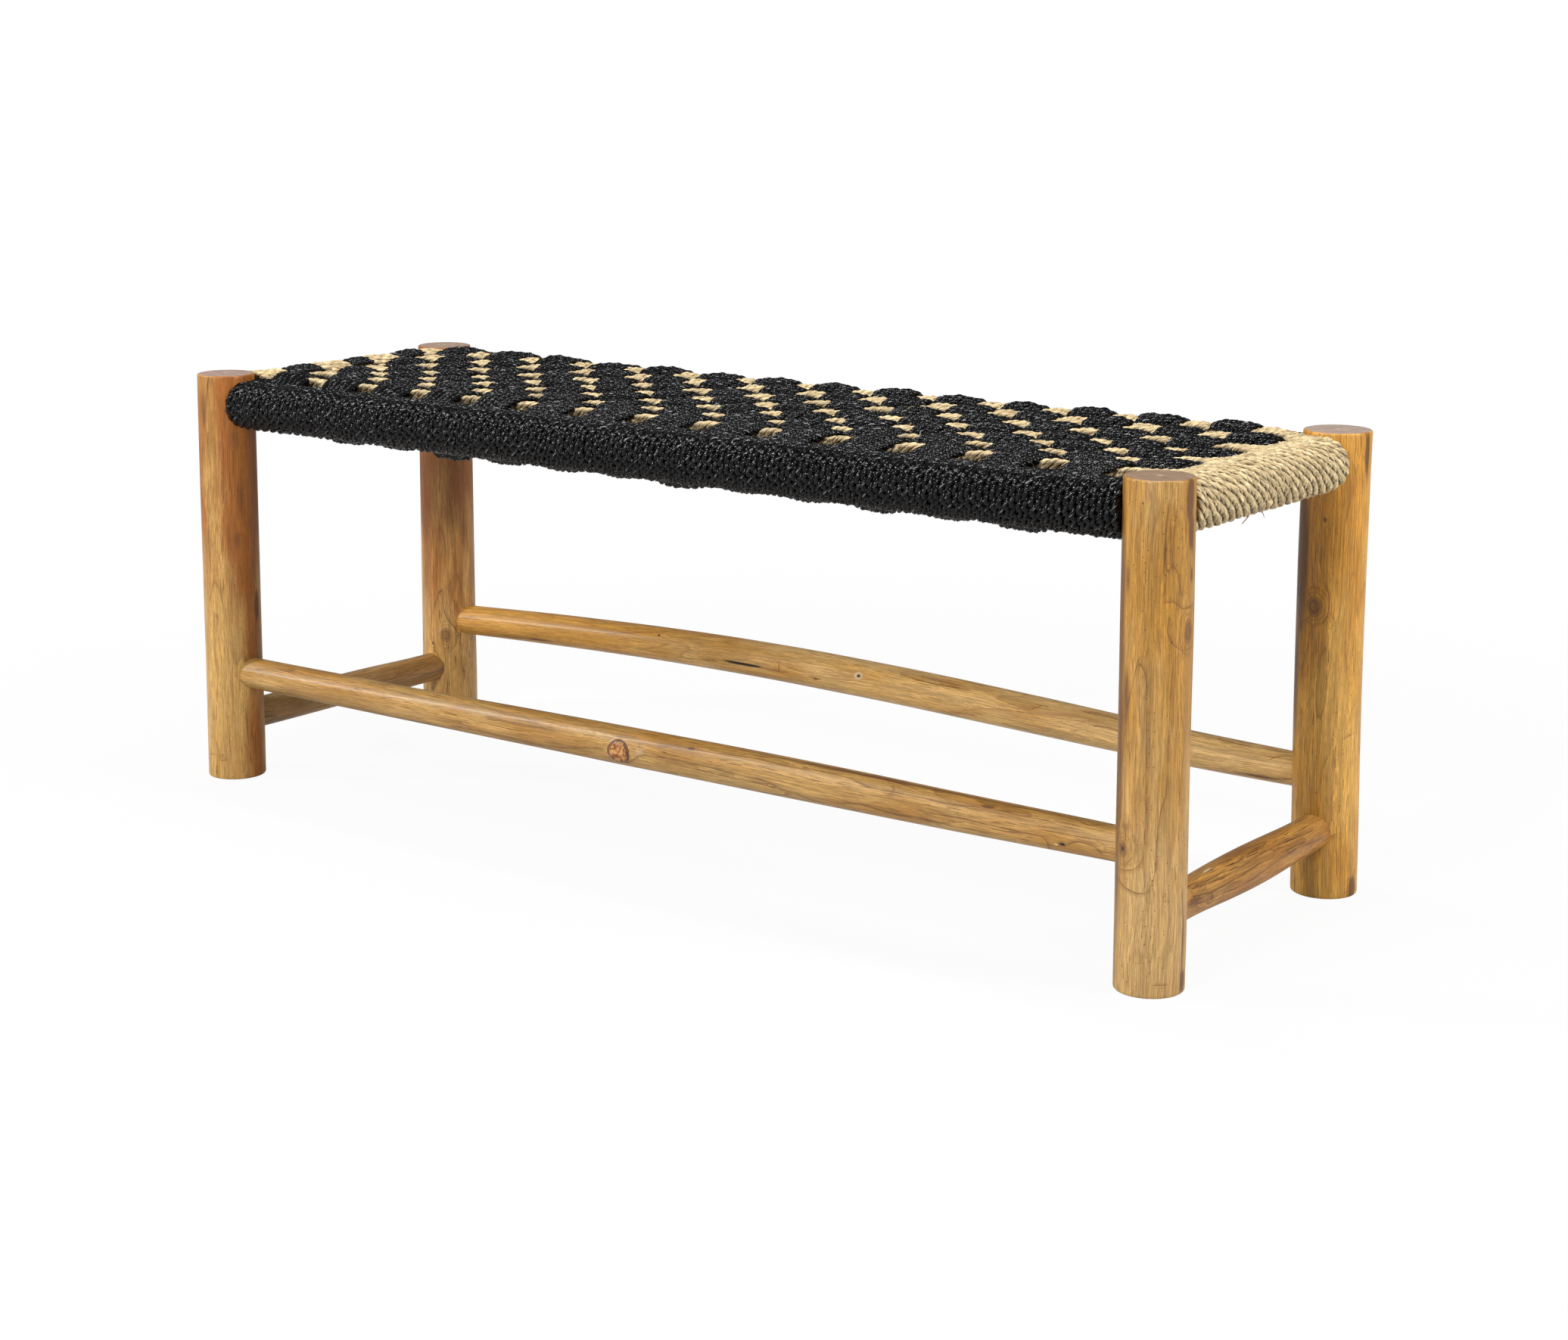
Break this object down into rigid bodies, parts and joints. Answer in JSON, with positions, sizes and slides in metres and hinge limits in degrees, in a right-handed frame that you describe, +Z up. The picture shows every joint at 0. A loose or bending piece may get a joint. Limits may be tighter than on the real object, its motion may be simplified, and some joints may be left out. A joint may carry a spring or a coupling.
{
  "type": "woven bench",
  "caption": "Low rustic bench of peeled round branches with tenoned stretchers and a checker-woven seat of black and natural seagrass cord.",
  "frame": {"origin": "on the floor under the middle of the bench", "axes": "+X along the bench to its right, -Y to the front, +Z up"},
  "size_m": [1.2017, 0.3996, 0.4424],
  "materials": {
    "teak_branch": "oiled",
    "rail_wood": "raw",
    "black_seagrass": "dyed cord",
    "natural_seagrass": "raw cord",
    "woven_seagrass": "woven cord",
    "nail_steel": "dark steel"
  },
  "bodies": {
    "root": {"leg_front_left": "teak_branch", "leg_front_right": "teak_branch", "leg_back_left": "teak_branch", "leg_back_right": "teak_branch", "stretcher_front": "teak_branch", "stretcher_back": "teak_branch", "stretcher_left": "teak_branch", "stretcher_right": "teak_branch", "seat_rail_front": "rail_wood", "seat_rail_back": "rail_wood", "seat_rail_left": "rail_wood", "seat_rail_right": "rail_wood", "cord_roll_front": "black_seagrass", "cord_roll_back": "black_seagrass", "cord_roll_left": "natural_seagrass", "cord_roll_right": "natural_seagrass", "woven_seat_top": "woven_seagrass", "woven_seat_underside": "woven_seagrass", "tenon_nails": "nail_steel", "cord_tacks": "nail_steel"}
  },
  "joints": []
}
